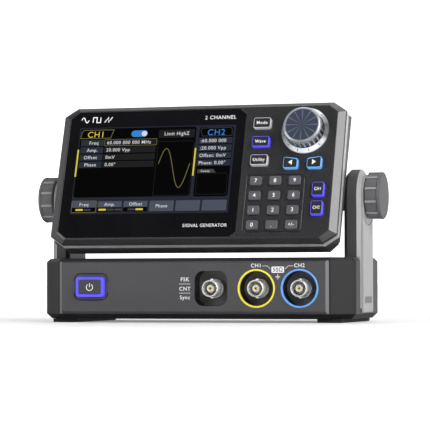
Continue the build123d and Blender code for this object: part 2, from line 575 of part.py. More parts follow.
def encoder():
    """Rotary encoder: body on the board, push plunger, shaft, knob and the fixed dial ring."""
    spot = Pos(DIAL_X, DIAL_V, 0)
    body = block(-6, 6, -6.5, 6.5, BOARD_N + 0.02, PLATE_BACK - 0.1) + disc(3.5, BOARD_N + 1, FACE_N + 3.6)
    body -= disc(SHAFT_R + RUNNING, BOARD_N + 1.0, 12)
    keep("encoder_body", spot * body, at=HEAD)
    keep("encoder_plunger", spot * disc(2.4, BOARD_N + 1.6, BOARD_N + 2.3), at=HEAD)
    shaft = disc(SHAFT_R, BOARD_N + 2.4, FACE_N + 4.0)
    shaft += disc(SHAFT_R, FACE_N + 3.9, DIAL_KNOB_TOP - 2.0) - block(1.6, 4, -4, 4, FACE_N + 3.9, 20)
    keep("encoder_shaft", spot * shaft, at=HEAD)

    bottom = FACE_N + 1.0
    knob = disc(DIAL_KNOB_R, bottom, DIAL_KNOB_TOP)
    knob = fillet(knob.edges().group_by(Axis.Z)[-1], DIAL_KNOB_R - DIAL_INSET_R - 0.2)
    flute_out = DIAL_KNOB_R - DIAL_FLUTE_DEPTH + DIAL_FLUTE_R
    flute = disc(DIAL_FLUTE_R, bottom - 1, DIAL_KNOB_TOP - 2.0, flute_out, 0)
    for i in range(DIAL_FLUTES):
        knob -= Rot(0, 0, 360 / DIAL_FLUTES * i) * flute
    knob -= disc(DIAL_INSET_R, DIAL_KNOB_TOP - 0.35, DIAL_KNOB_TOP + 1)
    knob -= disc(4.2, bottom - 1, FACE_N + 4.2)
    knob -= disc(SHAFT_R, bottom, DIAL_KNOB_TOP - 1.9) - block(1.65, 4, -4, 4, bottom, 20)
    keep("encoder_knob", spot * knob, at=HEAD)
    ring = disc(DIAL_R, FACE_N + 0.02, FACE_N + 0.9)
    ring += Pos(0, 0, FACE_N + 1.5) * Cone(DIAL_R, DIAL_R - 2.2, 1.2)
    ring -= disc(DIAL_KNOB_R + 0.25, 0, 9)
    keep("encoder_dial_ring", spot * ring, at=HEAD)


def hump(shrink):
    """The rear casing's form behind the frame, or its cavity when shrunk."""
    s = shrink
    low, high = -HEAD_HALF_V + SHELL_INSET, HEAD_HALF_V - SHELL_INSET
    wide_x = HEAD_HALF_X - SHELL_INSET
    stations = [
        (Pos(0, 0, -FRAME_DEPTH + (1 if s else 0)), (wide_x, low, high, HEAD_CUT_X, HEAD_CUT_V)),
        (Pos(0, 0, -WIDE_DEPTH) * Rot(-WIDE_SLANT, 0, 0), (wide_x, low, high, HEAD_CUT_X, WIDE_CUT_V)),
        (Pos(0, 0, -WAIST_DEPTH), (WAIST_HALF_X, low, high - 0.4, 4.6, 4.6)),
        (Pos(0, 0, -SHOULDER_DEPTH), (SHOULDER_HALF_X, low + 2.3, high - 4.2, 4.6, 4.6)),
        (Pos(0, 0, -HUMP_DEPTH + s), (HUMP_HALF_X, PIVOT_V - 18.5, PIVOT_V + 20.5, 6.0, 6.0)),
    ]
    faces = [
        at * eight(half_x - s, v0 + s, v1 - s, cut_x - 0.6 * s, cut_v - 0.6 * s)
        for at, (half_x, v0, v1, cut_x, cut_v) in stations
    ]
    solid = loft(faces[:2], ruled=True)
    for near, far in zip(faces[1:], faces[2:]):
        solid += loft([near, far], ruled=True)
    return solid


def rear_shell():
    """Hollow rear casing with pivot bosses, screw posts and a grille."""
    shell = hump(0) - hump(2.2)
    pivot = Pos(0, PIVOT_V, PIVOT_N) * ALONG_X
    for side in both_sides(pivot * disc(BOSS_R, BOSS_OUT_X - BOSS_LENGTH, BOSS_OUT_X)):
        shell += side
    for side in both_sides(pivot * disc(INSERT_R, BOSS_OUT_X - BOSS_LENGTH - 1, BOSS_OUT_X + 1)):
        shell -= side
    for x, v in HEAD_SCREWS:
        shell += disc(4.0, -60, -FRAME_DEPTH - 0.05, x, v) & hump(0)
        shell -= disc(SCREW_R + CLEAR, -30, 0, x, v)
        shell -= disc(SCREW_HEAD_R + CLEAR, -60, -10.0, x, v)
    for i in range(13):
        x = -54.0 + 9.0 * i
        shell -= pad(2.6, 18.0, 1.29, -HUMP_DEPTH - 1, -HUMP_DEPTH + 4, x, PIVOT_V + 1)
    keep("rear_shell", shell, at=HEAD)
    screws = [
        disc(SCREW_R - RUNNING, -12.0, -0.9, x, v) + disc(SCREW_HEAD_R, -12.0, -10.05, x, v)
        - Pos(x, v, -12.0) * Box(3.2, 0.7, 1.8) - Pos(x, v, -12.0) * Box(0.7, 3.2, 1.8)
        for x, v in HEAD_SCREWS
    ]
    keep("head_screws", *screws, at=HEAD)


def pivot_hardware():
    """Threaded inserts in the head and the friction washers against the arms."""
    pivot = Pos(0, PIVOT_Y, PIVOT_Z) * ALONG_X
    insert = tube(INSERT_R, CLAMP_R + RUNNING, BOSS_OUT_X - BOSS_LENGTH, BOSS_OUT_X)
    keep("pivot_inserts", *both_sides(pivot * insert))
    washer = tube(7.5, CLAMP_R + 0.3, BOSS_OUT_X + 0.02, ARM_IN_X - 0.05)
    keep("friction_washers", *both_sides(pivot * washer))


# ---------------------------------------------------------------- build and write
for make in (
    base_shells, base_screws, rubber_feet, front_panel, connectors, power_button, rear_panel, boards,
    arms, clamp_knobs, front_frame, display, keys, encoder, rear_shell, pivot_hardware,
):
    make()

os.makedirs("parts", exist_ok=True)
for name, shape in NODES.items():
    export_step(shape, f"parts/{name}.step")
print(len(NODES), "nodes written")
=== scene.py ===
import json
from math import ceil, cos, hypot, pi, radians, sin, tau

import bpy
from mathutils import Matrix, Vector


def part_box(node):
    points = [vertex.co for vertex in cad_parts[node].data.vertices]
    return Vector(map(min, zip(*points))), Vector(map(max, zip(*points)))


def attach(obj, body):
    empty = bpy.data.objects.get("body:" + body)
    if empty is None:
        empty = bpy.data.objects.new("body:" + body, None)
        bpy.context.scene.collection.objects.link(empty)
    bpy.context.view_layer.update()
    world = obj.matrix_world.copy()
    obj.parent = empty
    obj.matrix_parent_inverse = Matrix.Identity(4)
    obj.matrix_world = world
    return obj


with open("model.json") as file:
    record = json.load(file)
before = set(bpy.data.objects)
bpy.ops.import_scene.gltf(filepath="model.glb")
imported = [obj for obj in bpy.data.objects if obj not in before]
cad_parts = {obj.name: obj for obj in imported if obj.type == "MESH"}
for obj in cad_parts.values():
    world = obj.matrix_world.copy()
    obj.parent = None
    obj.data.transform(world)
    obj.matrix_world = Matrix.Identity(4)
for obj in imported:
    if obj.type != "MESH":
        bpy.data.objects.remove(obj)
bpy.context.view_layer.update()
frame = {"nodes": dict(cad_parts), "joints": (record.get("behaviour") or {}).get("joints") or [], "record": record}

MM = 0.001

# ---------------------------------------------------------------- places from the frame
JOINTS = {joint["name"]: joint for joint in frame["joints"]}
FRONT_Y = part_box("front_panel")[0].y
REAR_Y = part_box("rear_panel")[1].y
COVER_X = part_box("arm_covers")[1].x
KNOB_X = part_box("clamp_knob_right")[1].x
PIVOT = Vector(JOINTS["head_tilt"]["pos_m"])
OUTLET_Z = sum(corner.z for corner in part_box("channel_ring_1")) / 2


def middle_x(node):
    """Centre of a node across the object, in millimetres."""
    low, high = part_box(node)
    return (low.x + high.x) / 2 / MM


def frame_at(origin, across, out):
    """A drawing frame: x runs across, z comes out of the surface."""
    x, z = Vector(across).normalized(), Vector(out).normalized()
    y = z.cross(x)
    return Matrix.Translation(origin) @ Matrix((x, y, z)).transposed().to_4x4()


# the head's own frame: x to the right, y up the face, z out of it, origin mid-face
DIAL = (62.7, 24.3)           # the dial's middle
FACE = 2.45                   # height of the face and of the lens
DIAL_AT = Vector(JOINTS["encoder_turn"]["pos_m"])
FACE_OUT = Vector(JOINTS["encoder_turn"]["axis"])
FACE_UP = FACE_OUT.cross(Vector((1, 0, 0)))
HEAD_ORIGIN = DIAL_AT - Vector((DIAL[0], 0, 0)) * MM - FACE_UP * DIAL[1] * MM
HEAD_LEVEL = FACE_OUT.dot(HEAD_ORIGIN)
HEAD = frame_at(HEAD_ORIGIN, (1, 0, 0), FACE_OUT)
FRONT = frame_at((0, FRONT_Y, 0), (1, 0, 0), (0, -1, 0))
REAR = frame_at((0, REAR_Y, 0), (-1, 0, 0), (0, 1, 0))
RIGHT = frame_at((COVER_X, PIVOT.y, 0), (0, 1, 0), (1, 0, 0))

# ---------------------------------------------------------------- camera, light, stage
CAMERA_FROM_PANEL = Vector((382.3, -1205.5, 24.4)) * MM
CAMERA_YAW, CAMERA_PITCH, CAMERA_ROLL = radians(16.98), radians(1.66), radians(-0.148)
CAMERA_LENS, SENSOR_WIDTH = 186.73, 36.0
CAMERA_NEAR, CAMERA_FAR = 0.01, 50.0
LIGHTS_AIM = Vector((0, 0, 0.06))
STAGE_SPOKES = 48             # sides of the round floor and of the round wall
FLOOR_RADII = (0.3, 0.8, 2.0, 6.0, 20.0)
WALL_RADIUS, WALL_FOOT, WALL_TOP = 8.0, -0.05, 9.0


def add_camera():
    data = bpy.data.cameras.new("camera")
    data.sensor_width = SENSOR_WIDTH
    data.lens = CAMERA_LENS
    data.clip_start, data.clip_end = CAMERA_NEAR, CAMERA_FAR
    camera = bpy.data.objects.new("camera", data)
    bpy.context.scene.collection.objects.link(camera)
    turned = Matrix.Rotation(CAMERA_YAW, 4, "Z") @ Matrix.Rotation(pi / 2 + CAMERA_PITCH, 4, "X")
    place = Matrix.Translation(CAMERA_FROM_PANEL + Vector((0, FRONT_Y, 0)))
    camera.matrix_world = place @ turned @ Matrix.Rotation(CAMERA_ROLL, 4, "Z")
    bpy.context.scene.camera = camera


def add_light(name, at, size, power):
    """A softbox of that width and height in metres and that power in watts, facing the object."""
    data = bpy.data.lights.new(name, "AREA")
    data.shape = "RECTANGLE"
    data.size, data.size_y = size
    data.energy = power
    light = bpy.data.objects.new(name, data)
    bpy.context.scene.collection.objects.link(light)
    facing = (LIGHTS_AIM - Vector(at)).to_track_quat("-Z", "Y").to_matrix().to_4x4()
    light.matrix_world = Matrix.Translation(at) @ facing


def add_lights():
    add_light("softbox_right", (1.10, -0.85, 0.85), (1.2, 1.2), 26)
    add_light("softbox_top", (-0.1, 0.30, 1.4), (1.5, 0.9), 9)
    add_light("softbox_left", (-1.1, -1.1, 0.35), (0.5, 0.7), 8)
    add_light("fill_left", (-1.5, -0.15, 0.5), (0.6, 0.8), 1.2)


def add_world():
    """A bright wall behind the object, a dim room elsewhere, and a lit floor further out."""
    world = bpy.data.worlds.new("studio")
    bpy.context.scene.world = world
    world.use_nodes = True
    tree = world.node_tree
    where = tree.nodes.new("ShaderNodeTexCoord")
    split = tree.nodes.new("ShaderNodeSeparateXYZ")
    tree.links.new(where.outputs["Generated"], split.inputs[0])
    across, depth, up = (split.outputs[axis] for axis in "XYZ")

    def ramp(value, low, high, start, end):
        """A strength that goes smoothly from start to end as the value goes from low to high."""
        node = tree.nodes.new("ShaderNodeMapRange")
        node.interpolation_type = "SMOOTHSTEP"
        tree.links.new(value, node.inputs["Value"])
        for name, setting in (("From Min", low), ("From Max", high), ("To Min", start), ("To Max", end)):
            if isinstance(setting, float):
                node.inputs[name].default_value = setting
            else:
                tree.links.new(setting, node.inputs[name])
        return node.outputs["Result"]

    wall = ramp(up, 0.3, 0.7, 1.05, 0.3)                # dimmer high up
    room = ramp(depth, 0.3, 0.75, 0.035, wall)          # bright only behind the object
    floor = ramp(across, -0.1, 0.4, 0.75, 1.7)          # brighter to the right
    outer_floor = ramp(up, -0.40, -0.20, 0.02, floor)   # dark close to the object
    strength = ramp(up, -0.14, -0.02, outer_floor, room)
    tree.links.new(strength, tree.nodes["Background"].inputs["Strength"])
    tree.nodes["Background"].inputs["Color"].default_value = (1, 1, 1, 1)


def add_floor():
    """A wide pale disc, which its paint makes brighter away from the object, as a lit sweep is."""
    spokes = STAGE_SPOKES
    sheet = Sheet()
    sheet.points = [(0, 0, 0)] + [
        (r * cos(tau * i / spokes), r * sin(tau * i / spokes), 0) for r in FLOOR_RADII for i in range(spokes)
    ]
    for i in range(spokes):
        j = (i + 1) % spokes
        sheet.faces.append((0, 1 + i, 1 + j))
        for k in range(len(FLOOR_RADII) - 1):
            inner, outer = 1 + k * spokes, 1 + (k + 1) * spokes
            sheet.faces.append((inner + i, outer + i, outer + j, inner + j))
    floor = sheet.object("floor", FLOOR, Matrix.Identity(4))
    floor.visible_glossy = False


def add_backdrop():
    """A round white wall far off; it is only a background, and neither lights nor shades."""
    sheet = Sheet()
    for i in range(STAGE_SPOKES):
        angle = tau * i / STAGE_SPOKES
        x, y = WALL_RADIUS * cos(angle), WALL_RADIUS * sin(angle)
        sheet.points += [(x, y, WALL_FOOT), (x, y, WALL_TOP)]
        low, next_low = 2 * i, 2 * ((i + 1) % STAGE_SPOKES)
        sheet.faces.append((low, low + 1, next_low + 1, next_low))
    wall = sheet.object("backdrop", BACKDROP, Matrix.Identity(4))
    wall.visible_glossy = wall.visible_diffuse = False
    wall.visible_shadow = wall.visible_transmission = False


# ---------------------------------------------------------------- materials
COLOR_A, COLOR_B, COLOR_OUT = 6, 7, 2         # sockets of a Mix node that mixes colours
NOISE_LOW, NOISE_HIGH = 0.3, 0.7              # most of a noise pattern's values lie between these
DISPLAY_GAMMA = 2.2

# where the colour of a node changes, in millimetres
WELL_HALF_X, WELL_HALF_Z = 78.0, 11.0         # the panel's wells all lie within these
WELL_LIP, WELL_DEPTH = 0.15, 9.85             # their walls start and end here, behind the panel's face
PANEL_SLANT_X = 78.3                          # the panel's slanted ends, which carry a painted highlight, start here
FRAME_HIGHLIGHT_BAND = 1.4                              # the frame's painted highlight band starts this far behind its rim
ARM_BEVEL = 3.35                              # the arms' bevels, coloured as a painted highlight, start this far inside the covers' faces
GRIP_R, GRIP_END, GRIP_FACE = 13.1, 2.1, 0.5  # clamp knob: the ribs' radius and end, the end face's edge
FLUTE_R, FLUTE_TOP = 10.95, 9.9               # rotary knob: the flutes' radius and height
STRIPE_SCALE = 1 / 0.00064                    # of a wave texture: one stripe every 0.2 mm

SHARP, SOFT, FADE = 0.1 * MM, 0.2 * MM, 0.35 * MM   # over which one colour gives way to another
FINE_EDGE = 0.0002                            # radius of the edges of thin and polished things
GLASS_IOR = 1.28


class Material:
    """A node material under construction: one Principled shader and the nodes that feed it."""

    def __init__(self, name):
        self.data = bpy.data.materials.new(name)
        self.data.use_nodes = True
        self.tree = self.data.node_tree
        self.shader = self.tree.nodes["Principled BSDF"]
        self.where = self.add("TexCoord").outputs["Object"]

    def add(self, kind, inputs=(), **settings):
        node = self.tree.nodes.new("ShaderNode" + kind)
        for name, value in settings.items():
            setattr(node, name, value)
        for name, value in dict(inputs).items():
            self.feed(node.inputs[name], value)
        return node

    def feed(self, socket, value):
        if isinstance(value, bpy.types.NodeSocket):
            self.tree.links.new(value, socket)
        elif isinstance(value, tuple) and len(value) == 3 and socket.type == "RGBA":
            socket.default_value = (*value, 1.0)
        else:
            socket.default_value = value

    def set(self, **sockets):
        for name, value in sockets.items():
            self.feed(self.shader.inputs[name.replace("_", " ")], value)

    def noise(self, size, detail=3.0, rough=0.55, stretch=None):
        """Noise with features of about that size, in metres."""
        where = self.where
        if stretch:
            where = self.add("Mapping", {"Vector": where, "Scale": stretch}).outputs[0]
        node = self.add("TexNoise", {
            "Vector": where, "Scale": 1 / size, "Detail": detail, "Roughness": rough})
        return node.outputs["Fac"]

    def ramp(self, value, low, high, start, end):
        node = self.add("MapRange", {
            "Value": value, "From Min": low, "From Max": high, "To Min": start, "To Max": end})
        return node.outputs["Result"]

    def spread(self, pattern, start, end):
        """A noise pattern stretched to run from start to end."""
        return self.ramp(pattern, NOISE_LOW, NOISE_HIGH, start, end)

    def past(self, value, place, blend):
        """0 up to a place, and 1 once the value is past it by the blend."""
        return self.ramp(value, place, place + blend, 0.0, 1.0)

    def short_of(self, value, place, blend):
        """1 up to a place, and 0 once the value is past it by the blend."""
        return self.ramp(value, place, place + blend, 1.0, 0.0)

    def mix(self, factor, first, second):
        node = self.add("Mix", {"Factor": factor}, data_type="RGBA")
        self.feed(node.inputs[COLOR_A], first)
        self.feed(node.inputs[COLOR_B], second)
        return node.outputs[COLOR_OUT]

    def patchy(self, pattern, first, second):
        """Two colours mixed by a noise pattern."""
        return self.mix(self.spread(pattern, 0.0, 1.0), first, second)

    def math(self, operation, first, second=0.0):
        node = self.add("Math", operation=operation)
        self.feed(node.inputs[0], first)
        self.feed(node.inputs[1], second)
        return node.outputs[0]

    def dot(self, first, second):
        return self.add("VectorMath", {0: first, 1: second}, operation="DOT_PRODUCT").outputs["Value"]

    def axis(self, name):
        return self.add("SeparateXYZ", {"Vector": self.where}).outputs[name]

    def sideways(self):
        """Distance from the object's middle plane."""
        return self.math("ABSOLUTE", self.axis("X"))

    def color(self):
        """What feeds the shader's colour so far."""
        return self.shader.inputs["Base Color"].links[0].from_socket

    def edges(self, radius):
        """Rounded-edge normal, and how near a point is to a sharp edge (0 to 1)."""
        soft = self.add("Bevel", {"Radius": radius}, samples=6).outputs["Normal"]
        true = self.add("NewGeometry").outputs["True Normal"]
        return soft, self.ramp(self.dot(soft, true), 1.0, 0.8, 0.0, 1.0)

    def bump(self, height, depth, normal=None):
        node = self.add("Bump", {"Height": height, "Strength": 1.0, "Distance": depth})
        if normal is not None:
            self.feed(node.inputs["Normal"], normal)
        self.set(Normal=node.outputs["Normal"])


def grey(level, tint=(1.0, 1.0, 1.0)):
    """Linear colour of a display level from 0 to 255."""
    value = (level / 255) ** DISPLAY_GAMMA
    return tuple(value * t for t in tint)


def scaled(color, factor):
    return tuple(min(1.0, channel * factor) for channel in color)


def moulded(name, color, rough, grain=0.00035, depth=0.000012, edge=0.00035, shine=1.45, wear=1.25):
    """Moulded plastic or coated metal: fine grain, slow colour drift and rubbed edges."""
    m = Material(name)
    fine = m.noise(grain, 2.0)
    soft, near = m.edges(edge)
    body = m.patchy(m.noise(0.03), scaled(color, 0.93), scaled(color, 1.07))
    rubbed = m.math("MULTIPLY", near, m.ramp(m.noise(0.004), 0.35, 0.65, 0.2, 0.7))
    m.set(Base_Color=m.mix(rubbed, body, scaled(color, wear)),
          Roughness=m.spread(fine, rough - 0.05, rough + 0.06), IOR=shine)
    m.bump(fine, depth, soft)
    return m


def metal(name, color, rough, stretch=None, metallic=1.0):
    """Metal with fine tool marks; stretch draws them out along one axis."""
    m = Material(name)
    fine = m.noise(0.0004, 3.0, 0.6, stretch)
    soft, _ = m.edges(FINE_EDGE)
    m.set(Base_Color=m.patchy(m.noise(0.006), scaled(color, 0.9), scaled(color, 1.06)),
          Metallic=metallic, Roughness=m.spread(fine, rough * 0.75, rough * 1.3))
    m.bump(fine, 0.000004, soft)
    return m


def glowing(name, color, glow, strength):
    """Translucent plastic lit from behind: brighter and darker patches of one hue."""
    m = Material(name)
    patch = m.ramp(m.noise(0.004, 2.0), 0.25, 0.75, 0.0, 1.0)
    soft, _ = m.edges(FINE_EDGE)
    m.set(Base_Color=m.mix(patch, scaled(color, 0.85), color),
          Roughness=m.ramp(patch, 0.0, 1.0, 0.31, 0.40),
          Emission_Color=m.mix(patch, scaled(glow, 0.82), glow), Emission_Strength=strength)
    m.bump(m.noise(0.0003, 2.0), 0.000004, soft)
    return m


def screen_ink(name, color):
    """Light from the panel's columns of pixels, seen through polished glass."""
    m = Material(name)
    stripes = m.add("TexWave", {"Vector": m.where, "Scale": STRIPE_SCALE}, bands_direction="X").outputs["Fac"]
    m.set(Base_Color=(0.0012, 0.0012, 0.0014), Roughness=m.spread(m.noise(0.01), 0.07, 0.11), IOR=GLASS_IOR,
          Emission_Color=m.mix(m.ramp(stripes, 0.0, 1.0, 0.35, 1.0), scaled(color, 0.86), color),
          Emission_Strength=1.0)
    return m


def printed(name, color):
    """Pad-printed ink: nearly even, with the film's slight mottle."""
    m = Material(name)
    film = m.noise(0.0006)
    m.set(Base_Color=m.patchy(film, scaled(color, 0.88), color), Roughness=m.spread(film, 0.5, 0.6))
    m.bump(film, 0.000003)
    return m


def front_coating():
    """Grey coating of the front plate, with a painted highlight on its slanted ends; bare plastic in its wells."""
    m = moulded("front_coating", grey(72, (1, 1, 1.06)), 0.5, edge=0.0003)
    # painted highlight: the slanted ends are coloured lighter, for the light that catches them
    highlit_slant = m.past(m.sideways(), PANEL_SLANT_X * MM, SHARP)
    coated_and_highlit = m.mix(highlit_slant, m.color(), grey(112, (1, 1, 1.04)))
    inside = m.past(m.axis("Y"), FRONT_Y + WELL_LIP * MM, FADE)
    central = m.short_of(m.sideways(), WELL_HALF_X * MM, SOFT)
    height = m.math("ABSOLUTE", m.math("SUBTRACT", m.axis("Z"), OUTLET_Z))
    level = m.short_of(height, WELL_HALF_Z * MM, SOFT)
    well = m.math("MULTIPLY", inside, m.math("MULTIPLY", central, level))
    floor = m.past(m.axis("Y"), FRONT_Y + WELL_DEPTH * MM, SHARP)
    bare = m.mix(floor, m.patchy(m.noise(0.02), grey(34), grey(42)), grey(104, (1, 1, 1.05)))
    m.set(Base_Color=m.mix(well, coated_and_highlit, bare))
    return m


def frame_finish():
    """Satin dark frame with a painted highlight band round its side, behind the rim."""
    m = moulded("frame_finish", grey(46, (1, 1, 1.06)), 0.3, edge=0.0004, shine=1.8)
    # painted highlight: the frame's side behind the rim is coloured light grey
    band = m.short_of(m.dot(m.where, tuple(FACE_OUT)), HEAD_LEVEL - FRAME_HIGHLIGHT_BAND * MM, SHARP)
    m.set(Base_Color=m.mix(band, m.color(), m.patchy(m.noise(0.008), grey(160), grey(172))))
    return m


def arm_paint():
    """Casing plastic whose outer bevels carry a painted highlight."""
    m = moulded("arm_paint", grey(70, (1, 1, 1.05)), 0.42, edge=0.0003)
    # painted highlight: the outer bevels are coloured light grey
    bevel = m.past(m.sideways(), COVER_X - ARM_BEVEL * MM, SHARP / 2)
    m.set(Base_Color=m.mix(bevel, m.color(), m.patchy(m.noise(0.008), grey(150), grey(160))))
    return m


def around(m, middle, axis, start):
    """Distance from an axis, and the turn about it from 0 to 1, both as sockets."""
    axis, start = Vector(axis).normalized(), Vector(start).normalized()
    offset = m.add("VectorMath", {0: m.where, 1: tuple(middle)}, operation="SUBTRACT").outputs["Vector"]
    parts = [m.dot(offset, tuple(v)) for v in (start, axis.cross(start))]
    squares = [m.math("MULTIPLY", part, part) for part in parts]
    radius = m.math("SQRT", m.math("ADD", *squares))
    turned = m.ramp(m.math("ARCTAN2", parts[1], parts[0]), -pi, pi, 0.0, 1.0)
    return radius, turned


def clamp_plastic():
    """Satin grey grip with a darker end face; the tops of its ribs carry a painted highlight."""
    m = moulded("clamp_plastic", grey(100, (1, 1, 1.05)), 0.46, edge=0.0003, shine=1.32)
    radius, _ = around(m, PIVOT, (1, 0, 0), (0, 1, 0))
    # painted highlight: the tops of the ribs are coloured lighter
    rib_top_highlight = m.math("MULTIPLY", m.past(radius, GRIP_R * MM, SOFT),
                 m.short_of(m.sideways(), KNOB_X - GRIP_END * MM, SOFT))
    end = m.past(m.sideways(), KNOB_X - GRIP_FACE * MM, SHARP)
    m.set(Base_Color=m.mix(rib_top_highlight, m.mix(end, m.color(), grey(80, (1, 1, 1.05))), grey(150)))
    return m


def knob_metal():
    """Satin knob: bright rim and ribs, dark anodised flutes between them."""
    m = metal("knob_metal", (0.42, 0.44, 0.49), 0.3)
    radius, _ = around(m, DIAL_AT, FACE_OUT, (1, 0, 0))
    flute = m.math("MULTIPLY", m.short_of(radius, FLUTE_R * MM, SHARP),
                   m.short_of(m.dot(m.where, tuple(FACE_OUT)), HEAD_LEVEL + FLUTE_TOP * MM, SHARP))
    m.set(Base_Color=m.mix(flute, m.color(), (0.05, 0.055, 0.075)), Metallic=0.55)
    return m


def spun_metal():
    """Turned ring: a painted reflection, the light and dark sectors that its circular tool marks would reflect,
    coloured in by the turn round the dial.
    """
    m = Material("spun_metal")
    _, turned = around(m, DIAL_AT, FACE_OUT, (1, 0, 0))
    painted_fans = m.add("ValToRGB", {"Fac": turned})
    ramp = painted_fans.color_ramp
    ramp.interpolation = "EASE"
    # levels of the painted reflection at shares of a turn round the dial
    stops = ((0.0, 0.2), (0.12, 0.32), (0.20, 0.85), (0.33, 1.0), (0.40, 0.6), (0.46, 0.04),
             (0.53, 0.03), (0.59, 0.3), (0.64, 0.8), (0.75, 0.5), (0.88, 0.3), (1.0, 0.2))
    while len(ramp.elements) < len(stops):
        ramp.elements.new(0.5)
    for element, (place, level) in zip(ramp.elements, stops):
        element.position = place
        element.color = (level * 0.97, level * 0.98, level, 1.0)
    fine = m.noise(0.0003)
    soft, _ = m.edges(FINE_EDGE)
    m.set(Base_Color=painted_fans.outputs["Color"], Metallic=0.25, Roughness=m.spread(fine, 0.3, 0.42))
    m.bump(fine, 0.000003, soft)
    return m


def lens_glass():
    """Black glass: polished, with the faintest smear in its gloss."""
    m = Material("lens_glass")
    smear = m.noise(0.02, 4.0, stretch=(1.0, 1.0, 0.4))
    soft, _ = m.edges(FINE_EDGE)
    m.set(Base_Color=m.patchy(smear, (0.0045, 0.0045, 0.0055), (0.0065, 0.0065, 0.008)),
          Roughness=m.spread(smear, 0.06, 0.12), IOR=GLASS_IOR)
    m.bump(m.noise(0.012), 0.000002, soft)
    return m


def circuit_board():
    """Solder mask, with lighter lines where copper tracks lie under it."""
    m = Material("circuit_board")
    cells = m.add("TexVoronoi", {"Vector": m.where, "Scale": 1 / 0.006}, distance="CHEBYCHEV")
    tracks = m.math("FRACT", m.math("MULTIPLY", cells.outputs["Distance"], 7.0))
    lines = m.ramp(tracks, 0.42, 0.5, 0.0, 1.0)
    m.set(Base_Color=m.mix(lines, (0.004, 0.055, 0.018), (0.012, 0.105, 0.035)),
          Roughness=m.spread(m.noise(0.002), 0.25, 0.4), IOR=1.5)
    m.bump(lines, 0.00003)
    return m


def floor_paint():
    """Pale paint that shines faintly round the object and fully from 0.6 m out."""
    m = Material("floor_paint")
    away = m.add("VectorMath", {0: m.where}, operation="LENGTH").outputs["Value"]
    far = m.past(away, 0.12, 0.48)
    m.set(Base_Color=m.patchy(m.noise(0.4), (0.74, 0.74, 0.745), (0.76, 0.76, 0.76)),
          Roughness=m.spread(m.noise(0.05), 0.55, 0.65),
          Emission_Color=m.mix(far, (0.23, 0.23, 0.23), (1.0, 1.0, 1.0)), Emission_Strength=1.0)
    return m


def backdrop_paint():
    """White paint that is its own light, nearly even."""
    m = Material("backdrop_paint")
    patch = m.spread(m.noise(3.0), 0.0, 1.0)
    m.set(Base_Color=m.mix(patch, (0.86, 0.86, 0.86), (0.9, 0.9, 0.9)),
          Roughness=m.ramp(patch, 0.0, 1.0, 0.7, 0.8),
          Emission_Color=m.mix(patch, (1.0, 1.0, 1.0), (0.98, 0.98, 0.99)), Emission_Strength=1.02)
    return m


CASING = moulded("casing_plastic", grey(42, (1, 1, 1.06)), 0.48)
LOWER_CASING = moulded("lower_casing_plastic", grey(36, (1, 1, 1.05)), 0.5)
HEAD_CASING = moulded("head_casing_plastic", grey(66, (1, 1, 1.05)), 0.46)
ARM = arm_paint()
FRAME = frame_finish()
PANEL = front_coating()
COVER = moulded("cover_plate_metal", grey(150), 0.42, grain=0.0003, edge=0.0003, shine=1.6)
RUBBER = moulded("runner_rubber", grey(34), 0.75, grain=0.0005, depth=0.00002, shine=1.4)
CLAMP = clamp_plastic()
BLACK = moulded("black_plastic", grey(30), 0.5)
NUMBER_KEY = moulded("number_key_rubber", grey(84, (0.97, 0.98, 1.08)), 0.5, grain=0.00025, edge=0.0003)
KEY_TOP = moulded("key_top_plastic", grey(40, (1, 1, 1.06)), 0.45, grain=0.00025, edge=0.00015)
POWER_CAP = moulded("power_cap_plastic", grey(64, (1, 1, 1.1)), 0.45, grain=0.00025, edge=0.0003)
CLEAR_WALL = glowing("milky_silicone", (0.5, 0.5, 0.51), (0.45, 0.45, 0.47), 0.25)
VIOLET_WALL = glowing("violet_silicone", (0.08, 0.07, 0.60), (0.065, 0.045, 0.74), 0.85)
SKY_WALL = glowing("sky_silicone", (0.10, 0.26, 0.55), (0.10, 0.33, 0.72), 0.75)
YELLOW_RING = glowing("yellow_ring_plastic", (0.62, 0.55, 0.05), (0.83, 0.73, 0.06), 0.38)
BLUE_RING = glowing("blue_ring_plastic", (0.10, 0.28, 0.62), (0.13, 0.34, 0.80), 0.42)
NICKEL = metal("nickel_plate", (0.84, 0.83, 0.82), 0.3, metallic=0.4)
GOLD = metal("gold_plate", (1.0, 0.76, 0.28), 0.25, metallic=0.4)
STEEL = metal("zinc_steel", (0.42, 0.42, 0.43), 0.35)
KNOB_METAL = knob_metal()
RING_METAL = spun_metal()
SINK_METAL = metal("extruded_aluminium", (0.55, 0.55, 0.56), 0.4, stretch=(1, 0.1, 1))
INSULATOR = moulded("insulator_resin", grey(205, (1, 0.98, 0.86)), 0.4, wear=1.0)
BOARD = circuit_board()
LENS = lens_glass()
LEGEND = printed("legend_ink", (0.86, 0.86, 0.88))
SIDE_INK = printed("side_ink", grey(112))
FLOOR = floor_paint()
BACKDROP = backdrop_paint()
DIAL_BLUE = moulded("anodised_slate", (0.033, 0.043, 0.066), 0.38, grain=0.0006, wear=1.1)
# painted sheen: lighter slate for the rays on the knob's inset
SPOKE_SHEEN_BLUE = moulded("painted_sheen_spoke", (0.10, 0.12, 0.165), 0.34, grain=0.0006, wear=1.1)

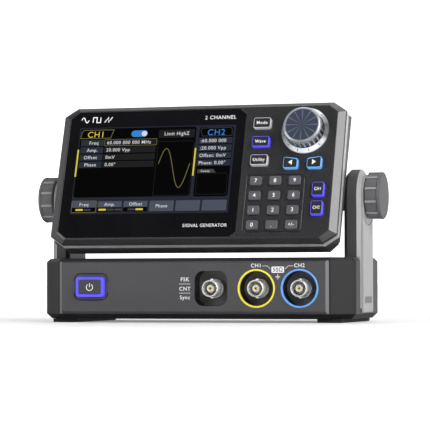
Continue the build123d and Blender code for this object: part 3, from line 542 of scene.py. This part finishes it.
NODE_MATERIALS = {
    CASING: ["base_top_shell", "rear_panel"],
    HEAD_CASING: ["rear_shell"],
    LOWER_CASING: ["base_bottom_shell"],
    ARM: ["arm_left", "arm_right"],
    FRAME: ["front_frame"],
    PANEL: ["front_panel"],
    COVER: ["arm_covers"],
    RUBBER: ["rubber_feet", "key_mat"],
    CLAMP: ["clamp_knob_left", "clamp_knob_right"],
    BLACK: ["dc_inlet", "power_switch", "encoder_body", "encoder_plunger", "friction_washers",
            "thrust_washers", "lcd_module"],
    NUMBER_KEY: [f"key_{n}" for n in (*range(10), "point", "sign")],
    POWER_CAP: ["power_button"],
    CLEAR_WALL: ["key_mode", "key_utility"],
    VIOLET_WALL: ["key_wave", "key_ch1", "key_ch2", "power_button_light"],
    SKY_WALL: ["key_left", "key_right"],
    YELLOW_RING: ["channel_ring_1"],
    BLUE_RING: ["channel_ring_2"],
    NICKEL: ["bnc_shells", "bnc_nuts", "usb_port"],
    GOLD: ["bnc_contacts"],
    STEEL: ["base_screws", "head_screws", "pivot_inserts", "clamp_screw_left", "clamp_screw_right",
            "encoder_shaft"],
    KNOB_METAL: ["encoder_knob"],
    RING_METAL: ["encoder_dial_ring"],
    SINK_METAL: ["heat_sink"],
    INSULATOR: ["bnc_insulators"],
    BOARD: ["main_board", "keypad_board"],
    LENS: ["display_lens"],
}


def paint_nodes():
    """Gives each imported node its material; none may be left out."""
    painted = set()
    for material, names in NODE_MATERIALS.items():
        for name in names:
            slots = frame["nodes"][name].data.materials
            slots.clear()
            slots.append(material.data)
            painted.add(name)
    missing = set(frame["nodes"]) - painted
    if missing:
        raise ValueError(f"nodes with no material: {sorted(missing)}")


# ---------------------------------------------------------------- drawing in a frame
FONT_CAP = 0.69               # capital height of the built-in font at size 1
LETTER_SPACE = 1.12
LETTER_CURVES = 4             # steps in each curve of a letter
ARC_STEP = 15                 # degrees between the points of an arc, at most
MITRE_LIMIT = 0.25            # keeps sharp corners of an offset path from running away


class Sheet:
    """Shapes laid out in millimetres in one frame, gathered into a single piece."""

    def __init__(self):
        self.points = []
        self.faces = []

    def ring(self, outline, height):
        start = len(self.points)
        self.points += [(x * MM, y * MM, height * MM) for x, y in outline]
        return list(range(start, len(self.points)))

    def join(self, lower, upper):
        n = len(lower)
        for i in range(n):
            j = (i + 1) % n
            self.faces.append((lower[i], lower[j], upper[j], upper[i]))

    def raised(self, outline, low, high, edge=0.0):
        """A plate with that outline, its upper edge softened by a small bevel."""
        foot = self.ring(outline, low)
        if edge:
            shoulder = self.ring(outline, high - edge)
            top = self.ring(inset(outline, edge), high)
            self.join(foot, shoulder)
            self.join(shoulder, top)
        else:
            top = self.ring(outline, high)
            self.join(foot, top)
        self.faces.append(tuple(top))
        self.faces.append(tuple(reversed(foot)))

    def band(self, path, width, low, high, closed=False):
        """A line of that width along a path, mitred at its corners."""
        left, right = offset_path(path, width / 2, closed), offset_path(path, -width / 2, closed)
        rings = [self.ring(side, height) for side, height in (
            (left, low), (left, high), (right, high), (right, low))]
        count = len(path) if closed else len(path) - 1
        for i in range(count):
            j = (i + 1) % len(path)
            for a, b in zip(rings, rings[1:] + rings[:1]):
                self.faces.append((a[i], a[j], b[j], b[i]))
        if not closed:
            self.faces.append(tuple(ring[0] for ring in rings))
            self.faces.append(tuple(ring[-1] for ring in reversed(rings)))

    def words(self, text, x, y, cap, low, high, align="CENTER", bold=0.0, squeeze=1.0):
        """Plain lettering with capitals of that height, centred on y."""
        curve = bpy.data.curves.new("lettering", "FONT")
        curve.body = text
        curve.size = 1.0
        curve.align_x = align
        curve.align_y = "BOTTOM_BASELINE"
        curve.offset = bold
        curve.space_character = LETTER_SPACE
        curve.resolution_u = LETTER_CURVES
        holder = bpy.data.objects.new("lettering", curve)
        mesh = bpy.data.meshes.new_from_object(holder)
        scale = cap / FONT_CAP
        start = len(self.points)
        flat = [(x + v.co.x * scale * squeeze, y - cap / 2 + v.co.y * scale) for v in mesh.vertices]
        self.points += [(a * MM, b * MM, high * MM) for a, b in flat]
        below = len(self.points)
        self.points += [(a * MM, b * MM, low * MM) for a, b in flat]
        sides = {}                            # used as a set that keeps its order
        for polygon in mesh.polygons:
            ring = list(polygon.vertices)
            if polygon.normal.z < 0:
                ring.reverse()
            self.faces.append(tuple(start + i for i in ring))
            self.faces.append(tuple(below + i for i in reversed(ring)))
            for a, b in zip(ring, ring[1:] + ring[:1]):
                sides[(a, b)] = True
        for a, b in sides:
            if (b, a) not in sides:
                self.faces.append((below + a, below + b, start + b, start + a))
        bpy.data.objects.remove(holder)
        bpy.data.curves.remove(curve)
        bpy.data.meshes.remove(mesh)

    def object(self, name, material, place):
        mesh = bpy.data.meshes.new(name)
        mesh.from_pydata(self.points, [], self.faces)
        mesh.materials.append(material.data)
        piece = bpy.data.objects.new(name, mesh)
        bpy.context.scene.collection.objects.link(piece)
        piece.matrix_world = place
        return piece

    def piece(self, name, material, place, body, slot):
        piece = self.object(name, material, place)
        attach(piece, body)


def offset_path(path, distance, closed):
    """The path moved sideways, to its left for a positive distance."""
    moved = []
    n = len(path)
    for i in range(n):
        before = path[i - 1] if closed or i > 0 else None
        after = path[(i + 1) % n] if closed or i < n - 1 else None
        here = path[i]
        normals = []
        for a, b in ((before, here), (here, after)):
            if a is None or b is None:
                continue
            dx, dy = b[0] - a[0], b[1] - a[1]
            length = hypot(dx, dy) or 1.0
            normals.append((-dy / length, dx / length))
        nx = sum(v[0] for v in normals) / len(normals)
        ny = sum(v[1] for v in normals) / len(normals)
        stretch = distance / max(MITRE_LIMIT, nx * nx + ny * ny)
        moved.append((here[0] + nx * stretch, here[1] + ny * stretch))
    return moved


def inset(outline, distance):
    return offset_path(outline, distance, closed=True)


def arc(cx, cy, r, start, end, steps=None):
    """Points along an arc, angles in degrees."""
    steps = steps or max(2, ceil(abs(end - start) / ARC_STEP))
    angles = [radians(start + (end - start) * i / steps) for i in range(steps + 1)]
    return [(cx + r * cos(a), cy + r * sin(a)) for a in angles]


def rounded(x0, y0, x1, y1, r):
    """A rectangle with round corners, anticlockwise."""
    return (arc(x1 - r, y0 + r, r, -90, 0) + arc(x1 - r, y1 - r, r, 0, 90)
            + arc(x0 + r, y1 - r, r, 90, 180) + arc(x0 + r, y0 + r, r, 180, 270))


def centred(x, y, w, h, r):
    return rounded(x - w / 2, y - h / 2, x + w / 2, y + h / 2, r)


def circle(x, y, r, steps=24):
    return arc(x, y, r, 0, 360 - 360 / steps, steps - 1)


# ---------------------------------------------------------------- the screen
LAYER = 0.02                  # each printed or lit layer stands this far above the last
SCREEN = (-73.8, -24.7, 21.3, 29.2)
LEFT_PANE, RIGHT_PANE = (-73.2, -14.4, -2.3, 28.6), (-0.4, -14.7, 20.1, 28.0)
TITLE_Y, TITLE_CAP = 24.9, 3.6                # the line of the channel tabs
TEXT_CAP = 2.0
ROW_TOP, ROW_PITCH, ROW_HEIGHT = 19.6, 4.55, 3.85
NAME_LEFT, NAME_RIGHT = -72.2, -58.1          # the table's columns
VALUE_LEFT, VALUE_RIGHT = -57.6, -26.0
SECOND_LEFT, SECOND_RIGHT = -0.2, 19.9
DOT_PITCH, DOT_LENGTH, DOT_HALF = 0.9, 0.4, 0.07
WAVE_LEFT, WAVE_PERIOD, WAVE_LEVEL, WAVE_SWING = -23.97, 19.0, 3.1, 12.1
WAVE_START, WAVE_STEPS = 0.035, 60            # share of a period before the first point
SOFT_LEFT, SOFT_PITCH, SOFT_WIDTH = -73.2, 15.75, 14.5
SOFT_LOW, SOFT_MID, SOFT_HIGH = -23.3, -20.6, -16.9
PIP_PITCH, PIP_WIDTH, PIP_LOW, PIP_HIGH = 4.8, 4.4, -22.6, -21.5


class Picture:
    """The lit picture on the panel: one sheet for each ink, in layers above the lens."""

    def __init__(self):
        self.inks = {
            "slate": screen_ink("ink_slate", grey(46, (0.85, 0.98, 1.5))),
            "black": screen_ink("ink_black", grey(7)),
            "label": screen_ink("ink_label", grey(52, (0.8, 0.98, 1.45))),
            "value": screen_ink("ink_value", grey(36)),
            "button": screen_ink("ink_button", grey(84, (0.88, 0.97, 1.3))),
            "line": screen_ink("ink_line", grey(70)),
            "yellow": screen_ink("ink_yellow", (0.72, 0.60, 0.07)),
            "dim": screen_ink("ink_dim_yellow", (0.20, 0.175, 0.06)),
            "blue": screen_ink("ink_blue", (0.035, 0.24, 0.66)),
            "white": screen_ink("ink_white", (0.72, 0.72, 0.76)),
        }
        self.sheets = {name: Sheet() for name in self.inks}

    def area(self, ink, outline, level):
        self.sheets[ink].raised(outline, FACE - LAYER, FACE + LAYER * level)

    def line(self, ink, path, width, level, closed=False):
        self.sheets[ink].band(path, width, FACE - LAYER, FACE + LAYER * level, closed)

    def words(self, ink, text, x, y, cap, level, align="CENTER", bold=0.006, squeeze=1.0):
        self.sheets[ink].words(text, x, y, cap, FACE, FACE + LAYER * level, align, bold, squeeze)

    def place(self):
        for name, sheet in self.sheets.items():
            sheet.piece(f"screen_{name}", self.inks[name], HEAD, "head", "display")


def draw_titles(picture):
    """Channel tabs, the output switch and the load."""
    left_tab = [(-72.9, 22.5), (-54.4, 22.5), (-52.7, 27.7), (-71.2, 27.7), (-72.4, 26.4)]
    right_tab = [(0.4, 26.3), (1.6, 27.5), (18.2, 27.5), (19.3, 26.3), (19.3, 22.5), (1.6, 22.5)]
    picture.line("dim", left_tab, 0.3, 4, closed=True)
    picture.words("yellow", "CH1", -63.5, TITLE_Y, TITLE_CAP, 4, bold=0.0)
    picture.line("line", right_tab, 0.25, 4, closed=True)
    picture.words("blue", "CH2", 9.8, TITLE_Y - 0.1, TITLE_CAP, 4, bold=0.0)
    picture.area("blue", centred(-36.8, TITLE_Y, 9.9, 4.0, 1.95), 4)
    picture.area("white", circle(-33.8, TITLE_Y, 1.65), 5)
    picture.area("value", rounded(-24.9, 21.9, -3.2, 27.0, 0.6), 4)
    picture.words("white", "Limit HighZ", -14.0, 24.5, 2.1, 5, squeeze=0.92)


def draw_tables(picture):
    """The parameters of the first channel, and of the second one at their right."""
    names = ("Freq", "Amp.", "Offset", "Phase")
    values = ("60.000 000 000 MHz", "20.000 Vpp", "0mV", "0.00°")
    seconds = (":60.000 000", ":20.000 Vpp", "Offset: 0mV", "Phase: 0.00°")
    for i, (name, value, second) in enumerate(zip(names, values, seconds)):
        y = ROW_TOP - ROW_PITCH * i
        low, high = y - ROW_HEIGHT / 2, y + ROW_HEIGHT / 2
        picture.area("label", rounded(NAME_LEFT, low, NAME_RIGHT, high, 0.2), 4)
        picture.area("value", rounded(VALUE_LEFT, low, VALUE_RIGHT, high, 0.2), 4)
        picture.area("label", rounded(SECOND_LEFT, low, SECOND_RIGHT, high, 0.2), 4)
        picture.words("white", name, NAME_RIGHT - 3.3, y, TEXT_CAP, 5, "RIGHT")
        picture.words("white", value, VALUE_LEFT + 1.4, y, TEXT_CAP, 5, "LEFT", squeeze=0.98)
        picture.words("white", second, SECOND_LEFT + 1.1, y, TEXT_CAP, 5, "LEFT")
    chosen = rounded(-57.7, ROW_TOP - 1.95, -25.7, ROW_TOP + 1.95, 0.5)
    picture.line("dim", chosen, 0.22, 6, closed=True)


def draw_plots(picture):
    """Dotted plot frames, one period of a sine, and the yellow bars beside the panes."""
    for x0, y0, x1, y1 in ((-24.7, -13.8, -3.0, 19.7), (0.8, -13.4, 19.0, -0.6)):
        for i in range(round((x1 - x0) / DOT_PITCH)):
            x = x0 + DOT_PITCH * i
            for y in (y0, y1):
                picture.area("line", rounded(x, y - DOT_HALF, x + DOT_LENGTH, y + DOT_HALF, 0.05), 4)
        for i in range(round((y1 - y0) / DOT_PITCH)):
            y = y0 + DOT_PITCH * i
            for x in (x0, x1):
                picture.area("line", rounded(x - DOT_HALF, y, x + DOT_HALF, y + DOT_LENGTH, 0.05), 4)
    shares = [WAVE_START + i / WAVE_STEPS for i in range(WAVE_STEPS + 1)]
    wave = [(WAVE_LEFT + WAVE_PERIOD * s, WAVE_LEVEL + WAVE_SWING * sin(tau * s)) for s in shares]
    picture.line("dim", wave, 0.36, 5)
    picture.area("yellow", rounded(-73.9, -1.4, -73.0, 15.6, 0.2), 6)
    picture.area("yellow", rounded(-2.2, -1.9, -1.3, 15.2, 0.2), 6)
    picture.area("line", [(0.8, -0.2), (11.8, -0.2), (10.2, 2.0), (0.8, 2.0)], 5)
    picture.words("white", "Sweep", 5.4, 0.9, 1.3, 6, bold=0.0)


def draw_soft_keys(picture):
    """Six soft keys; the first three are shorter and have rows of pips under them."""
    for i, name in enumerate(("Freq", "Amp.", "Offset", "Phase", "", "")):
        left = SOFT_LEFT + SOFT_PITCH * i
        right = left + SOFT_WIDTH
        low = SOFT_MID if i < 3 else SOFT_LOW
        picture.area("button", rounded(left, low, right, SOFT_HIGH, 0.5), 4)
        if name:
            picture.words("white", name, (left + right) / 2, (low + SOFT_HIGH) / 2, 1.95, 5)
        if i < 3:
            picture.area("black", rounded(left, SOFT_LOW, right, SOFT_MID - 0.05, 0.4), 4)
    picture.line("dim", rounded(-73.4, -23.7, -58.4, -16.6, 0.6), 0.22, 6, closed=True)
    for x, count, lit in ((-70.7, 2, 0), (-56.6, 3, 0), (-38.9, 2, 1)):
        for k in range(count):
            left = x + PIP_PITCH * k
            ink = "yellow" if k == lit else "line"
            picture.area(ink, rounded(left, PIP_LOW, left + PIP_WIDTH, PIP_HIGH, 0.2), 5)


def screen():
    """Two channel panes with a table, a sine and six soft keys."""
    picture = Picture()
    picture.area("slate", rounded(*SCREEN, 0.3), 1)
    picture.area("black", rounded(*LEFT_PANE, 1.6), 2)
    picture.area("black", rounded(*RIGHT_PANE, 1.6), 2)
    draw_titles(picture)
    draw_tables(picture)
    draw_plots(picture)
    draw_soft_keys(picture)
    picture.place()


# ---------------------------------------------------------------- marks on the face
INK_SINK, INK_RISE = 0.02, 0.03               # how far printed marks reach into and out of a surface


def face_marks():
    """Generic marks: three wave pictograms, and plain words where the unit is described."""
    ink = Sheet()
    low, high = FACE, FACE + INK_RISE
    pitch, half, middle, swing, steps = 7.2, 2.3, 34.1, 1.6, 24
    bottom, top = middle - swing, middle + swing
    x0 = -73.6
    x1 = x0 + pitch
    x2 = x1 + pitch
    sine = [(x0 + 2 * half * i / steps, middle + swing * sin(tau * i / steps)) for i in range(steps + 1)]
    square = [(x1, bottom), (x1, top), (x1 + half, top), (x1 + half, bottom),
              (x1 + 2 * half, bottom), (x1 + 2 * half, top)]
    ramp = [(x2, bottom), (x2 + half, top), (x2 + half, bottom), (x2 + 2 * half, top)]
    for path in (sine, square, ramp):
        ink.band(path, 0.55, low, high)
    ink.words("2 CHANNEL", 21.0, 34.0, 2.2, low, high, "RIGHT", bold=0.004)
    ink.words("SIGNAL GENERATOR", 21.4, -32.2, 1.9, low, high, "RIGHT", bold=0.004, squeeze=0.92)
    ink.piece("face_legends", LEGEND, HEAD, "head", "frame")


# ---------------------------------------------------------------- keys
ARROW_KEYS = {"key_left": -1, "key_right": 1}  # the side each arrow points to
ARROW_FALL = 1.1                              # how far an arrow key's upper edge falls
INSERT_GAP = 0.2                              # an insert is this much smaller than its key
INSERT_SINK, INSERT_RISE, INSERT_EDGE = 0.05, 0.12, 0.08
TOP_TOLERANCE = 0.02 * MM
KEY_LEGENDS = {                               # text, capital height and squeeze
    "key_mode": ("Mode", 1.9, 0.95), "key_wave": ("Wave", 1.9, 0.9), "key_utility": ("Utility", 1.9, 0.9),
    "key_ch1": ("CH1", 1.75, 0.8), "key_ch2": ("CH2", 1.75, 0.8),
    "key_point": (".", 2.4, 1.0), "key_sign": ("+/-", 1.9, 0.95),
    **{f"key_{n}": (str(n), 2.3, 0.95) for n in range(10)},
}


def key_top(node):
    """Middle, size and height of a key's top face in the head's frame, in millimetres."""
    inverse = HEAD.inverted()
    points = [inverse @ v.co for v in frame["nodes"][node].data.vertices]
    top = max(p.z for p in points)
    face = [p for p in points if p.z > top - TOP_TOLERANCE]
    left, right = min(p.x for p in face), max(p.x for p in face)
    low, high = min(p.y for p in face), max(p.y for p in face)
    return (left + right) / 2 / MM, (low + high) / 2 / MM, (right - left) / MM, (high - low) / MM, top / MM


def keys():
    """Dark insert on each lit key, and a legend on every key."""
    slots = {entry["node"]: entry["material_slot"] for entry in frame["record"]["subparts"]}
    for node in sorted(n for n in frame["nodes"] if n.startswith("key_") and n != "key_mat"):
        x, y, width, height, face = key_top(node)
        if node not in NODE_MATERIALS[NUMBER_KEY]:
            w, h = width - INSERT_GAP, height - INSERT_GAP
            if node in ARROW_KEYS:
                outline = arrow_outline(x, y, w, h, -ARROW_KEYS[node] * ARROW_FALL)
            else:
                outline = centred(x, y, w, h, 0.75)
            plate = Sheet()
            plate.raised(outline, face - INSERT_SINK, face + INSERT_RISE, edge=INSERT_EDGE)
            plate.piece(f"{node}_insert", KEY_TOP, HEAD, node, "connector_black")
            face += INSERT_RISE
        mark = Sheet()
        if node in ARROW_KEYS:
            side = ARROW_KEYS[node]
            arrow = [(x + side * 1.25, y), (x - side * 1.05, y + 1.55), (x - side * 1.05, y - 1.55)]
            mark.raised(arrow if side < 0 else arrow[::-1], face - INK_SINK, face + INK_RISE)
        else:
            text, cap, squeeze = KEY_LEGENDS[node]
            drop = 0.4 if text == "." else 0.0
            mark.words(text, x, y - drop, cap, face - INK_SINK, face + INK_RISE, bold=0.012, squeeze=squeeze)
        mark.piece(f"{node}_legend", LEGEND, HEAD, node, slots[node])


def arrow_outline(x, y, w, h, fall):
    """A key top whose upper edge falls to the right, or to the left for a negative fall."""
    a, b, r = w / 2, h / 2, 0.7
    high_left = b if fall > 0 else b + fall
    high_right = b - fall if fall > 0 else b
    corners = [(x - a, y - b), (x + a, y - b), (x + a, y + high_right), (x - a, y + high_left)]
    outline = []
    for i, (cx, cy) in enumerate(corners):
        middle = (cx + (r if cx < x else -r), cy + (r if cy < y else -r))
        outline += arc(*middle, r, 180 + 90 * i, 270 + 90 * i)
    return outline


# ---------------------------------------------------------------- the dial
SPOKES = 12                                   # of the knob's inset, and ticks of the ring
INSET_R, INSET_DEPTH = 9.4, 0.34
SPOKE_IN, SPOKE_OUT, SPOKE_TIP, SPOKE_HALF = 0.4, 9.0, 9.2, 0.42
CONE_IN, CONE_OUT = 11.6, 13.8                # the ring's cone falls from its inner edge outwards
CONE_LOW, CONE_HIGH = FACE + 0.9, FACE + 2.1
TICK_IN, TICK_OUT, TICK_HALF = 12.1, 13.2, 0.2


def radial(angle):
    """Unit vectors outwards and across at that angle."""
    return Vector((cos(angle), sin(angle))), Vector((-sin(angle), cos(angle)))


def dial():
    """A slate inset with thin spokes in the knob's end, the spokes coloured lighter as a painted sheen, and ticks
    on the ring round the knob.
    """
    x, y = DIAL
    inverse = HEAD.inverted()
    knob_top = max((inverse @ v.co).z for v in frame["nodes"]["encoder_knob"].data.vertices) / MM
    floor = knob_top - INSET_DEPTH
    plate = Sheet()
    plate.raised(circle(x, y, INSET_R, 48), floor, floor + 0.08, edge=0.04)
    plate.piece("dial_inset", DIAL_BLUE, HEAD, "encoder_knob", "knob_metal")
    # painted sheen: the spokes are coloured lighter than the inset, as the rays of light that radial brushing
    # gives
    spokes = Sheet()
    for i in range(SPOKES):
        along, across = radial(tau * i / SPOKES)
        corners = [along * SPOKE_IN, along * SPOKE_OUT - across * SPOKE_HALF,
                   along * SPOKE_TIP, along * SPOKE_OUT + across * SPOKE_HALF]
        spokes.raised([(x + c.x, y + c.y) for c in corners], floor + 0.05, floor + 0.12)
    spokes.piece("dial_spokes", SPOKE_SHEEN_BLUE, HEAD, "encoder_knob", "knob_metal")

    ticks = Sheet()
    for i in range(SPOKES):
        along, across = radial(tau * (i + 0.5) / SPOKES)
        sides = ((TICK_IN, -TICK_HALF), (TICK_OUT, -TICK_HALF), (TICK_OUT, TICK_HALF), (TICK_IN, TICK_HALF))
        corners = [along * r + across * side for r, side in sides]
        start = len(ticks.points)
        for lift in (-0.02, 0.04):
            for c in corners:
                share = (CONE_OUT - c.length) / (CONE_OUT - CONE_IN)
                height = CONE_LOW + share * (CONE_HIGH - CONE_LOW) + lift
                ticks.points.append(((x + c.x) * MM, (y + c.y) * MM, height * MM))
        foot, top = list(range(start, start + 4)), list(range(start + 4, start + 8))
        ticks.join(foot, top)
        ticks.faces.append(tuple(top))
        ticks.faces.append(tuple(reversed(foot)))
    ticks.piece("dial_ticks", BLACK, HEAD, "head", "connector_black")


# ---------------------------------------------------------------- marks on the base
SOCKET_CAP, SOCKET_BOLD = 2.1, 0.012
FINE_LINE, GROUND_LINE, POWER_LINE = 0.22, 0.3, 0.42
CHANNEL_Z, BADGE_Z = 32.3, 29.9
MODES_X = -3.8                                # the three words left of the input socket
POWER_R, POWER_GAP = 1.9, 38                  # its arc stops this many degrees short of the top


def base_marks():
    """Legends beside the sockets, the impedance badge and the power symbol."""
    ink = Sheet()
    low, high = -INK_SINK, INK_RISE
    ch1, ch2 = middle_x("channel_ring_1"), middle_x("channel_ring_2")
    between = (ch1 + ch2) / 2
    for text, x in (("CH1", ch1), ("CH2", ch2)):
        ink.words(text, x, CHANNEL_Z, SOCKET_CAP, low, high, bold=SOCKET_BOLD)
    for side in (-1, 1):
        lead = [(between + side * 8.9, 32.0), (between + side * 6.0, 32.0), (between + side * 4.3, 30.3)]
        ink.band(lead, FINE_LINE, low, high)
    ink.raised(centred(between, BADGE_Z, 7.3, 3.5, 0.6), low, high)
    for half, z in ((1.4, 26.1), (0.85, 25.4), (0.35, 24.7)):
        ink.band([(between - half, z), (between + half, z)], GROUND_LINE, low, high)
    ink.band([(between, 26.2), (between, 27.5)], GROUND_LINE, low, high)
    for text, z in (("FSK", 24.6), ("CNT", 19.3), ("Sync", 14.4)):
        ink.words(text, MODES_X, z, SOCKET_CAP, low, high, bold=SOCKET_BOLD)
    for z in (22.0, 16.8):
        ink.band([(-7.2, z), (-0.5, z)], FINE_LINE, low, high)
    ink.piece("base_legends", LEGEND, FRONT, "base", "panel")

    badge = Sheet()
    badge.words("50Ω", between, BADGE_Z, 2.2, high - 0.01, high + INK_RISE, bold=SOCKET_BOLD)
    badge.piece("badge_figures", BLACK, FRONT, "base", "connector_black")

    low_corner, high_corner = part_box("power_button")
    x, z = (low_corner.x + high_corner.x) / 2 / MM, (low_corner.z + high_corner.z) / 2 / MM
    cap = (FRONT_Y - low_corner.y) / MM
    power = Sheet()
    opened = arc(x, z - 0.15, POWER_R, 90 + POWER_GAP, 450 - POWER_GAP, 26)
    power.band(opened, POWER_LINE, cap - INK_SINK, cap + INK_RISE)
    power.band([(x, z - 0.1), (x, z + 2.2)], POWER_LINE, cap - INK_SINK, cap + INK_RISE)
    power.piece("power_symbol", LEGEND, FRONT, "power_button", "button_cap")


def side_marks():
    """A plain printed block low on the right-hand cover plate."""
    block = Sheet()
    block.raised(rounded(-8.6, 10.9, 8.2, 14.6, 0.4), -INK_SINK, INK_RISE)
    block.piece("side_print", SIDE_INK, RIGHT, "base", "panel")


def rear_marks():
    """Plain labels over the rear sockets."""
    ink = Sheet()
    for text, x in (("DC IN", -52.0), ("DATA", -31.0)):
        ink.words(text, x, 26.2, 1.8, -INK_SINK, INK_RISE, bold=0.006)
    ink.piece("rear_legends", LEGEND, REAR, "base", "panel")


paint_nodes()
add_camera()
add_lights()
add_world()
add_floor()
add_backdrop()
screen()
face_marks()
keys()
dial()
base_marks()
side_marks()
rear_marks()

scene = bpy.context.scene
scene.view_settings.view_transform = "Standard"
scene.view_settings.look = "None"
